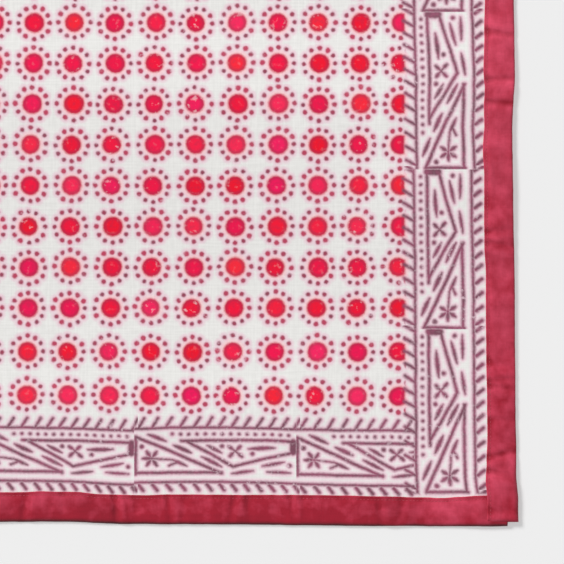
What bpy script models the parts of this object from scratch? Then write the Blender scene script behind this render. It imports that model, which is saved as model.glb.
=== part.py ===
"""A square printed cotton tablecloth that lies flat, its four raw edges bound with folded red strips.

Metres, +Z up. The origin is on the table, under the middle of the cloth. +X and +Y run along the hems.
Every piece is first made as if the cloth were pressed flat and cut true. lay() then puts each point where
it lies: the hems wander a little in the plane, and soft folds lift the cloth off the table.
"""

import math
from collections import namedtuple

import bmesh
import bpy

# Sizes of the cloth as it is sewn
CLOTH_SIDE = 1.2192  # a 48 inch square, over the folds of the binding
PANEL_THICK = 0.0010
STRIP_THICK = 0.0010  # one leaf of the binding
STRIP_WIDTH = 0.0255  # one leaf, from the fold to its inner edge
FIT_GAP = 0.0003  # left between pieces that touch
PANEL_INSET = 0.0026  # the panel's raw edge, back from the fold
SIDE_STRIP_SHORT = 0.0031  # the side strips are cut this much inside the square at each end
END_STRIP_TUCK = 0.0063  # the end strips stop this much inside it, between the side strips' leaves

# Sizes that follow
HALF = CLOTH_SIDE / 2
SEAT = STRIP_THICK + FIT_GAP  # what a leaf lifts the layer that lies on it
PANEL_ROOM = PANEL_THICK + 2 * FIT_GAP  # between the leaves of a strip with the panel in it
LAP_ROOM = 2 * STRIP_THICK + PANEL_ROOM + 2 * FIT_GAP  # with a whole end strip in it, at a corner

# How far from the edges the layers change height
FULL_RISE = STRIP_WIDTH + 0.005  # the cloth is level from the edge to here
LAP_RISE_END = FULL_RISE + 0.035  # a lapped corner is back to two leaves here
HEM_RISE_END = FULL_RISE + 0.045  # the panel has come down to the table here
WANDER_END = 0.150  # the hem's wander has died out here

# Lines of the cloth's mesh, by distance from the edge, then evenly to the middle
EDGE_LINES = (PANEL_INSET, 0.014, FULL_RISE, FULL_RISE + 0.0117, FULL_RISE + 0.0233, LAP_RISE_END)
MIDDLE_STEPS = 28
FOLD_STEPS = 4  # facets round a strip's fold

# The hems' wander. from_corner runs along a hem from the corner at +X and -Y, out is away from the cloth,
# and wide is added to the strip's width. The opposite hem is the same, turned half round.
Hem = namedtuple("Hem", "from_corner out wide")
SIDE_HEM = (
    Hem(0.000, 0.0034, 0.0022),
    Hem(0.022, 0.0034, 0.0024),
    Hem(0.047, 0.0012, 0.0008),
    Hem(0.112, 0.0005, 0.0002),
    Hem(0.202, 0.0000, -0.0002),
    Hem(0.292, -0.0009, -0.0012),
    Hem(0.353, -0.0018, 0.0004),
    Hem(0.407, 0.0000, 0.0006),
    Hem(0.472, -0.0006, -0.0004),
    Hem(0.640, 0.0010, 0.0004),
    Hem(0.790, -0.0010, -0.0006),
    Hem(0.950, 0.0008, 0.0004),
    Hem(1.090, -0.0008, 0.0000),
    Hem(1.220, 0.0012, 0.0010),
)
END_HEM = (
    Hem(0.000, 0.0018, 0.0008),
    Hem(0.122, 0.0012, 0.0000),
    Hem(0.193, 0.0000, 0.0004),
    Hem(0.337, -0.0008, 0.0002),
    Hem(0.373, -0.0027, -0.0006),
    Hem(0.532, -0.0024, -0.0004),
    Hem(0.700, -0.0012, 0.0004),
    Hem(0.880, 0.0004, -0.0006),
    Hem(1.040, 0.0014, 0.0000),
    Hem(1.220, 0.0004, 0.0008),
)

# Soft folds that lift the cloth. Each runs from start to end, and falls away over ahead on the side that
# is to the left of that run and over behind on its right. Past its ends it fades over fade.
Fold = namedtuple("Fold", "start end height ahead behind fade")
FOLDS = (
    Fold((-0.490, -0.206), (0.538, -0.241), 0.0046, 0.100, 0.190, 0.110),  # pressed in at a third
    Fold((-0.020, -0.516), (0.400, -0.508), 0.0018, 0.055, 0.050, 0.090),  # a swell beside the border
    Fold((0.508, -0.306), (0.598, -0.300), 0.0012, 0.035, 0.100, 0.060),  # the side hem's lift
    Fold((-0.510, 0.212), (0.500, 0.194), 0.0038, 0.120, 0.140, 0.100),  # pressed in at the other third
    Fold((-0.036, 0.515), (-0.012, -0.030), 0.0026, 0.070, 0.080, 0.120),  # half of the middle fold
    Fold((-0.430, -0.520), (-0.320, -0.090), 0.0022, 0.090, 0.110, 0.110),  # a slack diagonal
    Fold((0.270, 0.350), (0.460, 0.480), 0.0020, 0.080, 0.100, 0.100),  # the same, far corner
)


def smooth(share):
    """0 up to share 0, 1 from share 1, and an easy curve between."""
    share = min(max(share, 0.0), 1.0)
    return share * share * (3 - 2 * share)


def fading(distance, full, end):
    """1 up to distance full, 0 from distance end."""
    return 1 - smooth((distance - full) / (end - full))


def read(rows, place, column):
    """A column of a hem table at a distance from the hem's first corner."""
    for first, second in zip(rows, rows[1:]):
        if place <= second.from_corner:
            share = smooth((place - first.from_corner) / (second.from_corner - first.from_corner))
            low = getattr(first, column)
            return low + (getattr(second, column) - low) * share
    return getattr(rows[-1], column)


def lift_of(fold, x, y):
    """How far one fold lifts the cloth at a point."""
    run_x = fold.end[0] - fold.start[0]
    run_y = fold.end[1] - fold.start[1]
    length = math.hypot(run_x, run_y)
    off_x = x - fold.start[0]
    off_y = y - fold.start[1]
    along = (off_x * run_x + off_y * run_y) / length
    aside = (run_x * off_y - run_y * off_x) / length
    past = max(-along, along - length, 0.0)
    reach = fold.ahead if aside > 0 else fold.behind
    return fold.height * fading(abs(aside), 0.0, reach) * fading(past, 0.0, fold.fade)


def lap_share(position):
    """1 where a hem crosses a lapped corner and 0 away from it, by a coordinate along that hem."""
    return fading(HALF - abs(position), FULL_RISE, LAP_RISE_END)


def lay(x, y, height):
    """Where a point of the flat, true cloth lies, height being over the underside of the hem."""
    side = math.copysign(1.0, x)
    end = math.copysign(1.0, y)
    wander_x = side * read(SIDE_HEM, HALF + side * y, "out") * fading(HALF - abs(x), FULL_RISE, WANDER_END)
    wander_y = end * read(END_HEM, HALF + end * x, "out") * fading(HALF - abs(y), FULL_RISE, WANDER_END)
    ground = sum(lift_of(fold, x, y) for fold in FOLDS)
    return (x + wander_x, y + wander_y, ground + height)


def cloth_lines():
    """The mesh lines across the panel, from one edge to the other."""
    inner = HALF - EDGE_LINES[-1]
    middle = [inner * (2 * step / MIDDLE_STEPS - 1) for step in range(1, MIDDLE_STEPS)]
    low = [distance - HALF for distance in EDGE_LINES]
    return low + middle + [-position for position in reversed(low)]


def panel_point(x, y):
    """A point of the panel's underside: on the strips' lower leaves at the hems, on the table inside."""
    near_side = fading(HALF - abs(x), FULL_RISE, HEM_RISE_END)
    near_end = fading(HALF - abs(y), FULL_RISE, HEM_RISE_END)
    in_hem = 1 - (1 - near_side) * (1 - near_end)
    seats = 1 + lap_share(x) * lap_share(y)
    return lay(x, y, SEAT * seats * in_hem)


def strip_section(room, width):
    """A strip's middle line across, as (inward from the fold, height), from upper to lower inner edge."""
    radius = (STRIP_THICK + room) / 2
    middle = STRIP_THICK / 2 + radius
    section = [(width, middle + radius), ((width + middle) / 2, middle + radius)]
    for step in range(FOLD_STEPS + 1):
        turn = math.pi * step / FOLD_STEPS
        section.append((middle - radius * math.sin(turn), middle + radius * math.cos(turn)))
    return section + [((width + middle) / 2, middle - radius), (width, middle - radius)]


def strip_rings(end):
    """The mesh lines along a strip, which are the panel's own lines and the strip's two ends."""
    inside = [line for line in cloth_lines() if abs(line) < end - 0.002]
    return [-end] + inside + [end]


def strip_points(turns, hem, end, laps):
    """Rings of a strip, turned by quarter turns from the +X side. One that laps takes in the others."""
    rings = []
    for along in strip_rings(end):
        lap = lap_share(along)
        room = PANEL_ROOM + (LAP_ROOM - PANEL_ROOM) * lap * laps
        seat = SEAT * lap * (not laps)
        from_corner = HALF + along if laps else HALF - along
        width = STRIP_WIDTH + read(hem, from_corner, "wide")
        ring = []
        for inward, height in strip_section(room, width):
            x, y = HALF - inward, along
            for _ in range(turns):
                x, y = -y, x
            ring.append(lay(x, y, height + seat))
        rings.append(ring)
    return rings


def paint(name, colour, roughness):
    """A plain surface in linear colour."""
    material = bpy.data.materials.new(name)
    material.use_nodes = True
    surface = material.node_tree.nodes["Principled BSDF"]
    surface.inputs["Base Color"].default_value = (*colour, 1.0)
    surface.inputs["Roughness"].default_value = roughness
    surface.inputs["Metallic"].default_value = 0.0
    material.diffuse_color = (*colour, 1.0)
    return material


def sheet(name, rows, thickness, offset, material, collection):
    """Bends a flat grid to rows of points and gives it its thickness."""
    columns = len(rows[0])
    mesh = bpy.data.meshes.new(name)
    grid = bmesh.new()
    bmesh.ops.create_grid(grid, x_segments=columns - 1, y_segments=len(rows) - 1, size=1.0)
    for vertex in grid.verts:
        column = round((vertex.co.x + 1) / 2 * (columns - 1))
        row = round((vertex.co.y + 1) / 2 * (len(rows) - 1))
        vertex.co = rows[row][column]
    grid.to_mesh(mesh)
    grid.free()
    mesh.shade_smooth()
    piece = bpy.data.objects.new(name, mesh)
    collection.objects.link(piece)
    mesh.materials.append(material)
    body = piece.modifiers.new("cloth thickness", "SOLIDIFY")
    body.thickness = thickness
    body.offset = offset
    body.use_even_offset = True
    return piece


def printed_panel(collection):
    """The one cut square of printed cotton. It is drawn by its underside and thickened upwards."""
    lines = cloth_lines()
    rows = [[panel_point(x, y) for x in lines] for y in lines]
    cotton = paint("printed cotton", (0.78, 0.76, 0.74), 0.85)
    return sheet("printed_panel", rows, PANEL_THICK, 1.0, cotton, collection)


def binding(collection):
    """The four folded strips. The side strips lap over the ends of the other two."""
    red = paint("crimson cotton", (0.42, 0.035, 0.065), 0.8)
    side_end = HALF - SIDE_STRIP_SHORT
    tucked_end = HALF - END_STRIP_TUCK
    sides = (
        ("binding_right", 0, SIDE_HEM, side_end, True),
        ("binding_top", 1, END_HEM, tucked_end, False),
        ("binding_left", 2, SIDE_HEM, side_end, True),
        ("binding_bottom", 3, END_HEM, tucked_end, False),
    )
    for name, turns, hem, end, laps in sides:
        sheet(name, strip_points(turns, hem, end, laps), STRIP_THICK, 0.0, red, collection)


def main():
    for thing in list(bpy.data.objects):
        bpy.data.objects.remove(thing)
    cloth = bpy.data.collections.new("printed_tablecloth")
    bpy.context.scene.collection.children.link(cloth)
    printed_panel(cloth)
    binding(cloth)


main()
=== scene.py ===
"""The printed tablecloth in its cotton: the block-printed panel, the folded red binding and its seams.

Metres, +Z up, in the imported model's frame. Sizes of the print are in millimetres of cloth.
Each piece is made as if the cloth were pressed flat, and lay() puts its points where the cloth lies.
"""

import math
from collections import namedtuple
from functools import partial

import bpy
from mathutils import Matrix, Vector, noise


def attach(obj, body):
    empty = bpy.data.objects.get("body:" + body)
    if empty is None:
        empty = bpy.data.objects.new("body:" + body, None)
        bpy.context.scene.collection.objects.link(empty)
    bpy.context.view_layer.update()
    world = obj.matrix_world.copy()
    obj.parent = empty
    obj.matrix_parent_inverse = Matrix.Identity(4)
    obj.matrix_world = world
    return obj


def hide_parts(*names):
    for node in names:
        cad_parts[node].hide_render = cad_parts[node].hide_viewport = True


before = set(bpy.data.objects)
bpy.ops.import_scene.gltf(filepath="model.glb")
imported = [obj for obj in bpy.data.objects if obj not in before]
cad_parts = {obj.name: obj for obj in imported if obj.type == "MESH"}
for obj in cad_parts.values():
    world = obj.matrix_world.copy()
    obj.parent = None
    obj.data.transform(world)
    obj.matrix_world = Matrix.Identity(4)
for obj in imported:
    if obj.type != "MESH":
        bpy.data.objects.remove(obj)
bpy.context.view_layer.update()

MM = 0.001


def table(kind, *rows):
    """A table of one kind of row."""
    return [kind(*row) for row in rows]


# Sizes of the cloth as it is sewn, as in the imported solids, but for the end strips, which stop 3.4 mm sooner
CLOTH_SIDE = 1.2192
PANEL_THICK = 0.0010
STRIP_THICK = 0.0010
STRIP_WIDTH = 0.0255
FIT_GAP = 0.0003
PANEL_INSET = 0.0026
SIDE_STRIP_SHORT = 0.0031
END_STRIP_TUCK = 0.0097

HALF = CLOTH_SIDE / 2
SEAT = STRIP_THICK + FIT_GAP
PANEL_ROOM = PANEL_THICK + 2 * FIT_GAP
LAP_ROOM = 2 * STRIP_THICK + PANEL_ROOM + 2 * FIT_GAP
FULL_RISE = STRIP_WIDTH + 0.005
LAP_RISE_END = FULL_RISE + 0.035
HEM_RISE_END = FULL_RISE + 0.045
WANDER_END = 0.150

# The hems' wander and the strips' uneven width, from the corner at +X and -Y. The opposite hem is the same,
# turned half round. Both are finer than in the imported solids: the wander is within about 1 mm of theirs, and
# the width within 3 mm.
Hem = namedtuple("Hem", "from_corner out")
SIDE_HEM = table(
    Hem,
    (0, 0.0036), (0.022, 0.0038), (0.047, 0.0017), (0.112, 0.0009), (0.202, 0.0003), (0.292, -0.0013),
    (0.353, -0.002), (0.407, 0.0002), (0.472, -0.0005), (0.64, 0.001), (0.79, -0.001), (0.95, 0.0008),
    (1.09, -0.0008), (1.22, 0.0012),
)
END_HEM = table(
    Hem,
    (0, 0.0012), (0.06, 0.0014), (0.122, 0.0012), (0.193, 0.0005), (0.225, -0.0001), (0.345, -0.0006),
    (0.405, -0.0027), (0.532, -0.0024), (0.7, -0.0012), (0.88, 0.0004), (1.04, 0.0014), (1.22, 0.0004),
)
Width = namedtuple("Width", "from_corner added")
SIDE_WIDTHS = table(
    Width,
    (0, 0.0026), (0.034, 0.0029), (0.056, 0.0012), (0.077, 0), (0.11, 0), (0.15, 0.0005), (0.202, 0.0005),
    (0.228, 0.0003), (0.245, 0.0009), (0.315, 0.0006), (0.336, 0.0012), (0.358, -0.0001), (0.379, 0.0011),
    (0.39, 0.0011), (0.408, 0.0026), (0.444, 0.0013), (0.472, 0.0006), (0.64, 0.0004), (0.79, -0.0006),
    (0.95, 0.0004), (1.09, 0), (1.22, 0.001),
)
END_WIDTHS = table(
    Width,
    (0, 0.0014), (0.036, 0.0013), (0.052, 0.0003), (0.068, -0.0009), (0.09, -0.0001), (0.122, 0.0004),
    (0.15, 0.001), (0.193, 0.001), (0.225, 0.0005), (0.295, 0.0006), (0.33, -0.0001), (0.36, 0),
    (0.376, -0.0004), (0.392, 0.0008), (0.41, 0.0007), (0.425, 0.0014), (0.44, 0.0004), (0.532, -0.0004),
    (0.7, 0.0004), (0.88, -0.0006), (1.04, 0), (1.22, 0.0008),
)

# Soft folds that lift the cloth off the table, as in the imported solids, but for the swell, which is lower here
Fold = namedtuple("Fold", "start end height ahead behind fade")
FOLDS = (
    Fold((-0.490, -0.206), (0.538, -0.241), 0.0046, 0.100, 0.190, 0.110),
    Fold((-0.020, -0.516), (0.400, -0.508), 0.0011, 0.055, 0.050, 0.090),
    Fold((0.508, -0.306), (0.598, -0.300), 0.0012, 0.035, 0.100, 0.060),
    Fold((-0.510, 0.212), (0.500, 0.194), 0.0038, 0.120, 0.140, 0.100),
    Fold((-0.036, 0.515), (-0.012, -0.030), 0.0026, 0.070, 0.080, 0.120),
    Fold((-0.430, -0.520), (-0.320, -0.090), 0.0022, 0.090, 0.110, 0.110),
    Fold((0.270, 0.350), (0.460, 0.480), 0.0020, 0.080, 0.100, 0.100),
)

# The real cloth, which is thinner than its solids
COTTON_THICK = 0.0005  # the printed panel
TURN_IN = 0.008  # the strip's raw edges, turned in under each leaf
BEND = 0.0003  # radius of the strip's sharp inner folds, to the middle of its cloth
BINDING_THICK = 0.0004  # one layer of the red cloth
SEAM_INSET = 0.0025  # the seam, from a strip's inner edge
SEAM_PINCH = 0.00035  # how far the seam pulls a leaf in
END_ROUNDING = 0.004  # the last of a side strip, where it is sewn shut
CORNER_TRIM = 0.0075  # the panel's corners are trimmed, so that they stay inside the strips' ends
TRIM_REACH = 0.024
SEAM_LIFT = 0.0002  # the panel's rise over the lower leaves, past its seat
GATHER = 0.00042  # the panel's ripples beside its seam: their height
GATHER_SPAN = 0.009  # their length
GATHER_REACH = 0.016  # how far they run in
FINE_STEP = 0.0040  # mesh of the panel near its edges
WIDE_STEP = 0.0066  # and inside
FINE_BAND = 0.105
FIELD_END = HALF - FINE_BAND + 0.002  # the border's material begins here
LINE_ROOM = 0.0012  # no even line comes closer than this to a special one
RING_STEP = 0.0027  # mesh along a strip
PUCKER_STEP = 0.0013  # and where it puckers
DEEPEST = 0.0013  # a pucker goes no further into the hem
SHOULDER = 1.25  # how far in a sloped fold reaches, as a share of the hem's height
END_PROUD = 0.0011  # the end strips' folds lie this much further out than their solids
SIDE_PROUD = 0.0003
WAVER = 0.00035  # how unevenly a fold runs, broadly
FRET = 0.00015  # and finely
SHUT = 0.12  # a side strip's very end is pressed to this share of its height
LOOSE = 0.0003  # a leaf that swells or sinks less than this is neither rubbed nor in shade
CREASE = 0.0007  # and this much further is as far as its shade goes on
RUBBED = 0.45  # how much paler a leaf is on a ridge
# The next two are painted shade: a leaf is painted a deeper red in its pucker hollows, and mixed toward dark
# brown-red there, where shade falls
SHADED = 0.4  # how much redder in a hollow
HOLLOW_PAINTED_SHADE = 0.16
# Painted shade: a leaf is painted a deeper red beside a sloped fold, where its face turns from the light
SLOPE_SHADE = 0.30  # how much redder beside a sloped fold, and from where to where it fades
SLOPE_BAND = (0.003, 0.019)
PINCH_WIDE = 0.0022
PUFF = 0.00025  # how far a leaf stands up between fold and seam
LEAF_WAVES = (  # its unevenness: height, length along the strip and across it, seed
    (0.00026, 0.0075, 0.030, 0.0), (0.00042, 0.028, 0.050, 5.0), (0.00016, 0.060, 0.0035, 9.0),
)
PUCKER_REACH = 0.009  # the finer mesh on each side of a pucker
SEAM_STOP = 0.003  # the stitches stop this far from a strip's end
STITCH_PITCH = 0.0032  # the seam's stitches: eight to the inch
STITCH_LONG = 0.0026
THREAD_RADIUS = 0.00022
SLACK = 0.0007  # the cloth's own gentle waves
SLACK_SPAN = 0.120

# Where the strips pucker, from the corner at +X and -Y: the hollow's depth, its lean per metre across, and the
# height of the ridge that it throws up on the corner's side
Pucker = namedtuple("Pucker", "from_corner depth width lean ridge")
SIDE_PUCKERS = table(
    Pucker,
    (0.013, 0.0007, 0.003, 0.1, 0), (0.047, 0.0011, 0.0025, 0.25, 0.0005),
    (0.064, 0.0011, 0.0024, -0.2, 0.0005), (0.094, 0.001, 0.0024, 0.05, 0.0001),
    (0.123, 0.0009, 0.0022, 0.15, 0.0003), (0.13, 0.0008, 0.002, -0.1, 0), (0.144, 0.0006, 0.0024, 0.2, 0.0003),
    (0.251, 0.001, 0.0024, 0.15, 0.0003), (0.264, 0.0007, 0.0022, -0.1, 0.0005),
    (0.335, 0.0005, 0.003, -0.15, 0), (0.379, 0.001, 0.0024, 0.1, 0.0004), (0.4, 0.001, 0.0024, -0.05, 0.0004),
    (0.442, 0.0011, 0.0026, 0.2, 0), (0.61, 0.0008, 0.003, -0.2, 0), (0.705, 0.0009, 0.0024, 0.2, 0.0004),
    (0.722, 0.0007, 0.0022, -0.1, 0), (0.86, 0.0009, 0.0028, -0.15, 0.0002),
    (1.01, 0.0008, 0.0026, 0.25, 0.0004), (1.13, 0.0009, 0.0024, -0.2, 0),
)
END_PUCKERS = table(
    Pucker,
    (0.04, 0.0005, 0.004, 0.3, 0), (0.104, 0.0008, 0.0024, -0.1, 0.0003), (0.122, 0.0007, 0.0022, 0.15, 0.0005),
    (0.19, 0.0006, 0.0022, 0, 0), (0.2, 0.0007, 0.0022, 0.2, 0.0005), (0.239, 0.0008, 0.0024, 0.1, 0),
    (0.254, 0.001, 0.0024, -0.15, 0.0005), (0.297, 0.0006, 0.0026, -0.1, 0),
    (0.311, 0.001, 0.0022, 0.15, 0.0004), (0.341, 0.0007, 0.003, 0, 0), (0.359, 0.0015, 0.0024, 0.12, 0.0008),
    (0.406, 0.0008, 0.003, 0.1, 0), (0.441, 0.0011, 0.0026, -0.1, 0.0004), (0.57, 0.0008, 0.003, 0.25, 0.0003),
    (0.69, 0.0009, 0.0026, -0.2, 0), (0.815, 0.0009, 0.0028, 0.2, 0.0004), (0.96, 0.0008, 0.0024, -0.25, 0),
    (1.11, 0.0009, 0.0026, 0.2, 0.0003),
)

# How pale a strip is where it is rubbed, with painted shade making the end strips a deeper red than the side
# ones, for how the light falls across their threads; and how much its outer fold slopes instead of being round
Wear = namedtuple("Wear", "from_corner pale sloped")
SIDE_RUBBING_AND_SHADE = table(
    Wear,
    (0, 0.26, 0.15), (0.014, 0.28, 0.35), (0.032, 0.5, 0.3), (0.058, 0.46, 0.05), (0.075, 0.28, 0),
    (0.18, 0.42, 0.1), (0.24, 0.34, 0), (0.273, 0.34, 0), (0.31, 0.5, 0.05), (0.37, 0.54, 0.1), (0.4, 0.58, 0),
    (0.44, 0.76, 0.05), (0.47, 0.52, 0.1), (0.62, 0.4, 0), (0.76, 0.65, 0.1), (0.9, 0.45, 0.05),
    (1.06, 0.6, 0.1), (1.17, 0.35, 0.2), (1.22, 0.45, 0.3),
)
END_RUBBING_AND_SHADE = table(
    Wear,
    (0, 0.3, 1), (0.04, 0.46, 0.95), (0.066, 0.64, 0.85), (0.09, 0.34, 0.9), (0.108, 0.21, 0.45),
    (0.122, 0.17, 0.9), (0.16, 0.14, 0.92), (0.23, 0.09, 0.95), (0.3, 0.17, 0.85), (0.335, 0.18, 0.95),
    (0.362, 0.16, 1), (0.42, 0.24, 0.95), (0.466, 0.2, 0.85), (0.62, 0.36, 1), (0.78, 0.24, 0.8),
    (0.93, 0.38, 0.95), (1.09, 0.26, 0.85), (1.22, 0.46, 1),
)

# Places of the print, in millimetres. The border's inner line, from the cloth's edge:
SIDE_LINE = 89.1
END_LINE = 85.05
BAND_WIDE = 52.2  # between the inner and the outer line of the border block, as it is carved
END_SQUEEZE = 48.9 / 52.2  # how much of that the end borders have
BLOCK_LONG = 144.0
BLOCK_PHASE = 0.8  # impressions meet here, between two motifs
BLOCK_STRIDE = 200.0  # keeps one impression's coordinates apart from the next one's
SIDE_START = HALF / MM - SIDE_LINE - 1.8  # from the cloth's middle to just inside the inner lines, where a
END_START = HALF / MM - END_LINE - 1.8  # border stops at the next one
OFF_BORDER = (-300.0, 0.0)  # coordinates where a border isn't printed
BAKE_ROOM = CLOTH_SIDE + 0.012  # the cloth with its wander, for the layout of its exported colours
BAKED_FACE = (0.16, 0.84)  # where the printed face starts in that layout, and its share
BAKED_BACK = (0.0, 0.15)

# One impression of the border block: where it ends along the border, and how far out it is shifted there
Impression = namedtuple("Impression", "ends out_start out_end bow")
SIDE_IMPRESSIONS = table(
    Impression,
    (-427.2, 0.5, -0.4, 0), (-283.2, -0.3, 0.6, 0), (-139.2, 0.7, 0, 0), (4.8, -0.6, 0.5, 0),
    (148.8, 0.2, -0.7, 0), (290.5, -0.8, 2.4, 0), (434, -0.5, 0, 0), (580.5, 0, 0.3, 0),
)
END_IMPRESSIONS = table(
    Impression,
    (-414.3, 1.4, 0, 0), (-268.5, 0, 0, -1.2), (-127, 1.7, -0.6, 0), (14.5, 0.4, -0.5, 0), (156, -0.6, 0.7, 0),
    (297.5, 0.8, 0.1, 0), (439, -0.2, -0.8, 0), (580.5, 0.5, 0, 0),
)


def smooth(share):
    """0 up to share 0, 1 from share 1, and an easy curve between."""
    share = min(max(share, 0.0), 1.0)
    return share * share * (3 - 2 * share)


def fading(distance, full, end):
    """1 up to distance full, 0 from distance end."""
    return 1 - smooth((distance - full) / (end - full))


def read(rows, place, column):
    """A column of a hem table at a distance from the hem's first corner."""
    for first, second in zip(rows, rows[1:]):
        if place <= second.from_corner:
            share = smooth((place - first.from_corner) / (second.from_corner - first.from_corner))
            low = getattr(first, column)
            return low + (getattr(second, column) - low) * share
    return getattr(rows[-1], column)


def lift_of(fold, x, y):
    """How far one fold lifts the cloth at a point."""
    run_x = fold.end[0] - fold.start[0]
    run_y = fold.end[1] - fold.start[1]
    length = math.hypot(run_x, run_y)
    off_x = x - fold.start[0]
    off_y = y - fold.start[1]
    along = (off_x * run_x + off_y * run_y) / length
    aside = (run_x * off_y - run_y * off_x) / length
    past = max(-along, along - length, 0.0)
    reach = fold.ahead if aside > 0 else fold.behind
    return fold.height * fading(abs(aside), 0.0, reach) * fading(past, 0.0, fold.fade)


def lap_share(position):
    """1 where a hem crosses a lapped corner and 0 away from it, by a coordinate along that hem."""
    return fading(HALF - abs(position), FULL_RISE, LAP_RISE_END)


def waves(*place):
    """Smooth unevenness between -1 and 1."""
    return noise.noise(Vector(place))


def lay(x, y, height):
    """Where a point of the flat, true cloth lies, height being over the underside of the hem."""
    side = math.copysign(1.0, x)
    end = math.copysign(1.0, y)
    wander_x = side * read(SIDE_HEM, HALF + side * y, "out") * fading(HALF - abs(x), FULL_RISE, WANDER_END)
    wander_y = end * read(END_HEM, HALF + end * x, "out") * fading(HALF - abs(y), FULL_RISE, WANDER_END)
    ground = sum(lift_of(fold, x, y) for fold in FOLDS)
    ground += SLACK * (0.5 + 0.5 * waves(x / SLACK_SPAN, y / SLACK_SPAN, 3.1))
    return Vector((x + wander_x, y + wander_y, ground + height))


def panel_rise(x, y):
    """How far the hems' lower leaves lift the panel."""
    near_side = fading(HALF - abs(x), FULL_RISE, HEM_RISE_END)
    near_end = fading(HALF - abs(y), FULL_RISE, HEM_RISE_END)
    in_hem = 1 - (1 - near_side) * (1 - near_end)
    return (SEAT + SEAM_LIFT) * (1 + lap_share(x) * lap_share(y)) * in_hem


def trimmed(x, y):
    """A place on the panel, drawn in where it would show past the ends of the strips at a corner."""
    from_side, from_end = HALF - abs(x), HALF - abs(y)
    at_corner = CORNER_TRIM * fading(from_side, 0.0, TRIM_REACH) * fading(from_end, 0.0, TRIM_REACH)
    return x - math.copysign(at_corner, x), y - math.copysign(at_corner, y)


def seam_gathers(x, y):
    """Small ripples of the panel, square to the seam that draws it in."""
    total = 0.0
    for across, along, seed in ((x, y, 11.0), (y, x, 17.0)):
        from_seam = HALF - abs(across) - STRIP_WIDTH
        fade = fading(abs(from_seam), 0.0, GATHER_REACH + 0.006 * waves(along / 0.05, seed, 0.0))
        ripple = waves(along / GATHER_SPAN, math.copysign(seed, across), from_seam / 0.05)
        total += GATHER * fade * ripple
    return total


Border = namedtuple("Border", "impressions squeeze line start")
SIDE_BORDER = Border(SIDE_IMPRESSIONS, 1.0, SIDE_LINE, END_START)
END_BORDER = Border(END_IMPRESSIONS, END_SQUEEZE, END_LINE, SIDE_START)


def on_border(border, out, along, near):
    """A point's place across the border block and along it. Its face's middle, near, picks the impression."""
    if near < -border.start:
        return OFF_BORDER
    start = border.impressions[0].ends - BLOCK_LONG
    for number, impression in enumerate(border.impressions):
        if near < impression.ends + BLOCK_PHASE or impression is border.impressions[-1]:
            break
        start = impression.ends
    share = (along - start) / (impression.ends - start)
    shift = impression.out_start + (impression.out_end - impression.out_start) * share
    shift += impression.bow * 4 * share * (1 - share)
    across = (out - (HALF / MM - border.line) - shift) / border.squeeze
    return across, share * BLOCK_LONG + BLOCK_STRIDE * number


def mesh_lines(specials):
    """Lines of the panel's mesh from edge to edge: fine at the edges, and through each special place."""
    specials = specials | {-place for place in specials}
    lines = [-HALF + PANEL_INSET]
    while lines[-1] < HALF - PANEL_INSET - FINE_STEP * 0.5:
        near = HALF - abs(lines[-1]) < FINE_BAND
        lines.append(lines[-1] + (FINE_STEP if near else WIDE_STEP))
    lines[-1] = HALF - PANEL_INSET
    kept = [line for line in lines if all(abs(line - special) > LINE_ROOM for special in specials)]
    return sorted(kept + list(specials))


def cloth_lines():
    """The panel's mesh lines along X and along Y. The print changes its layout on some of them."""
    across = {(row.ends + BLOCK_PHASE) * MM for row in END_IMPRESSIONS[:-1]}
    up = {(row.ends + BLOCK_PHASE) * MM for row in SIDE_IMPRESSIONS[:-1]}
    return mesh_lines(across | {FIELD_END, SIDE_START * MM}), mesh_lines(up | {FIELD_END, END_START * MM})


def linked(name, mesh):
    """A new object of the cloth."""
    piece = bpy.data.objects.new(name, mesh)
    bpy.context.scene.collection.objects.link(piece)
    return piece


def applied(piece):
    """Bakes a piece's modifiers into a plain mesh."""
    graph = bpy.context.evaluated_depsgraph_get()
    mesh = bpy.data.meshes.new_from_object(piece.evaluated_get(graph))
    piece.modifiers.clear()
    piece.data = mesh
    mesh.name = piece.name
    return piece


def thickened(piece, thickness, offset):
    """Gives a sheet its thickness."""
    body = piece.modifiers.new("cloth thickness", "SOLIDIFY")
    body.thickness, body.offset, body.use_even_offset = thickness, offset, True
    return applied(piece)


def grid_faces(rows, columns, ways):
    """The faces of a grid of points. ways lead from a face's first corner to its other three."""
    corners = [row * columns + column for row in range(rows - 1) for column in range(columns - 1)]
    return [(corner, *(corner + way for way in ways)) for corner in corners]


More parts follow.
